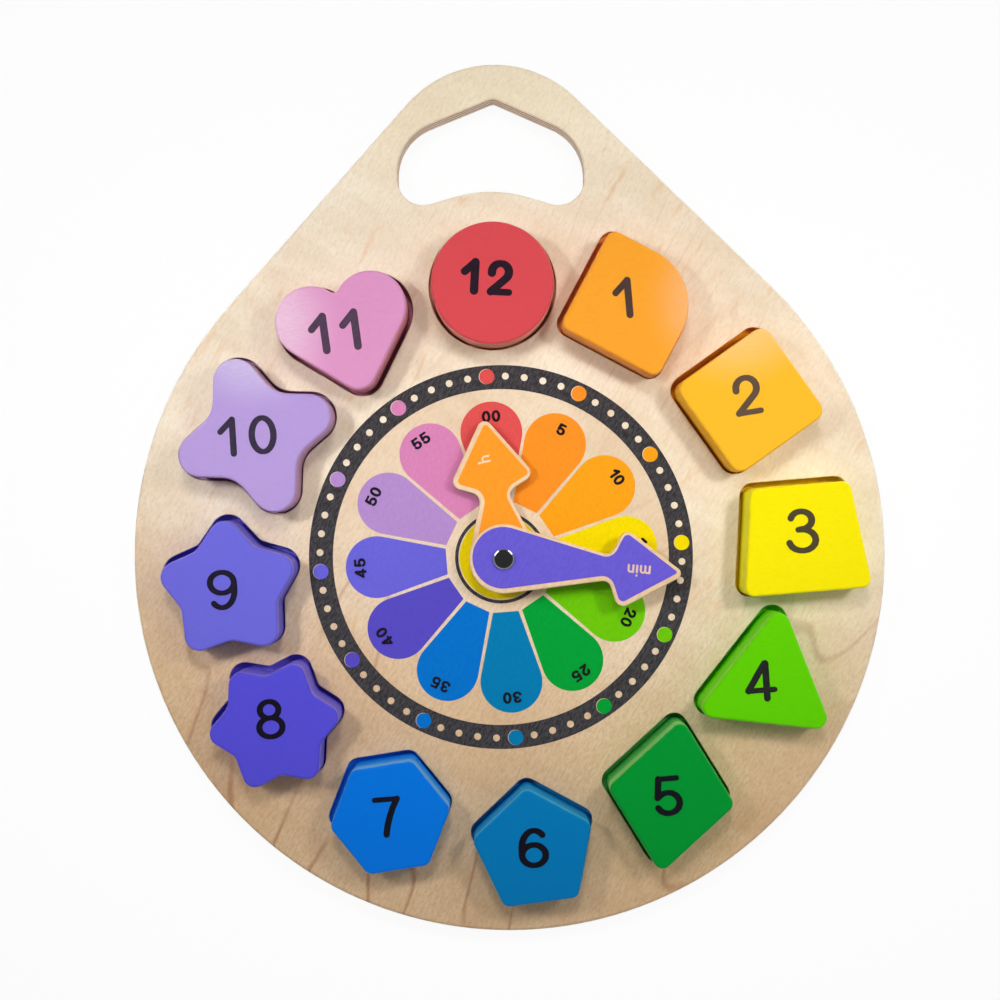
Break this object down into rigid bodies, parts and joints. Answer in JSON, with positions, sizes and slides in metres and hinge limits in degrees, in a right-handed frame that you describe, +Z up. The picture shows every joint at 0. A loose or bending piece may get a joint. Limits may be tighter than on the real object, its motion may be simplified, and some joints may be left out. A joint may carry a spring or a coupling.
{
  "type": "clock puzzle",
  "caption": "Teardrop plywood board with a handle hole, a dial with clock hands on a rivet, and numbered shape blocks that lift out of recesses round it.",
  "frame": {"origin": "middle of the board's outline, on the underside that it lies on", "axes": "+Z up out of the printed face, +Y from the dial to the handle hole, +X to the right of the dial"},
  "size_m": [0.26, 0.2998, 0.0243],
  "materials": {
    "maple_ply": "satin clear lacquer",
    "red_paint": "satin paint",
    "orange_paint": "satin paint",
    "amber_paint": "satin paint",
    "yellow_paint": "satin paint",
    "lime_paint": "satin paint",
    "green_paint": "satin paint",
    "teal_paint": "satin paint",
    "blue_paint": "satin paint",
    "indigo_paint": "satin paint",
    "violet_paint": "satin paint",
    "lilac_paint": "satin paint",
    "pink_paint": "satin paint",
    "hour_paint": "satin paint",
    "minute_paint": "satin paint",
    "chromed_rivet": "polished",
    "steel_washer": "plain"
  },
  "bodies": {
    "board": {"back_board": "maple_ply", "front_board": "maple_ply", "spacer_washer": "steel_washer", "middle_washer": "steel_washer", "tail_washer": "steel_washer", "rivet": "chromed_rivet"},
    "block_12_circle": {"block_12_circle": "red_paint"},
    "block_01_arched_square": {"block_01_arched_square": "orange_paint"},
    "block_02_square": {"block_02_square": "amber_paint"},
    "block_03_trapezoid": {"block_03_trapezoid": "yellow_paint"},
    "block_04_triangle": {"block_04_triangle": "lime_paint"},
    "block_05_diamond": {"block_05_diamond": "green_paint"},
    "block_06_pentagon": {"block_06_pentagon": "teal_paint"},
    "block_07_hexagon": {"block_07_hexagon": "blue_paint"},
    "block_08_six_point_star": {"block_08_six_point_star": "indigo_paint"},
    "block_09_five_point_star": {"block_09_five_point_star": "violet_paint"},
    "block_10_four_point_star": {"block_10_four_point_star": "lilac_paint"},
    "block_11_heart": {"block_11_heart": "pink_paint"},
    "hour_hand": {"hour_hand": "hour_paint"},
    "minute_hand": {"minute_hand": "minute_paint"}
  },
  "joints": [
    {"name": "block_12_lift", "type": "slide", "parent": "board", "child": "block_12_circle", "axis": [0, 0, 1], "range_m": [0, 0.03]},
    {"name": "block_01_lift", "type": "slide", "parent": "board", "child": "block_01_arched_square", "axis": [0, 0, 1], "range_m": [0, 0.03]},
    {"name": "block_02_lift", "type": "slide", "parent": "board", "child": "block_02_square", "axis": [0, 0, 1], "range_m": [0, 0.03]},
    {"name": "block_03_lift", "type": "slide", "parent": "board", "child": "block_03_trapezoid", "axis": [0, 0, 1], "range_m": [0, 0.03]},
    {"name": "block_04_lift", "type": "slide", "parent": "board", "child": "block_04_triangle", "axis": [0, 0, 1], "range_m": [0, 0.03]},
    {"name": "block_05_lift", "type": "slide", "parent": "board", "child": "block_05_diamond", "axis": [0, 0, 1], "range_m": [0, 0.03]},
    {"name": "block_06_lift", "type": "slide", "parent": "board", "child": "block_06_pentagon", "axis": [0, 0, 1], "range_m": [0, 0.03]},
    {"name": "block_07_lift", "type": "slide", "parent": "board", "child": "block_07_hexagon", "axis": [0, 0, 1], "range_m": [0, 0.03]},
    {"name": "block_08_lift", "type": "slide", "parent": "board", "child": "block_08_six_point_star", "axis": [0, 0, 1], "range_m": [0, 0.03]},
    {"name": "block_09_lift", "type": "slide", "parent": "board", "child": "block_09_five_point_star", "axis": [0, 0, 1], "range_m": [0, 0.03]},
    {"name": "block_10_lift", "type": "slide", "parent": "board", "child": "block_10_four_point_star", "axis": [0, 0, 1], "range_m": [0, 0.03]},
    {"name": "block_11_lift", "type": "slide", "parent": "board", "child": "block_11_heart", "axis": [0, 0, 1], "range_m": [0, 0.03]},
    {"name": "hour_turn", "type": "hinge", "parent": "board", "child": "hour_hand", "pos_m": [-0.0021, -0.0209, 0], "axis": [0, 0, -1], "continuous": true},
    {"name": "minute_turn", "type": "hinge", "parent": "board", "child": "minute_hand", "pos_m": [-0.0021, -0.0209, 0], "axis": [0, 0, -1], "continuous": true}
  ]
}
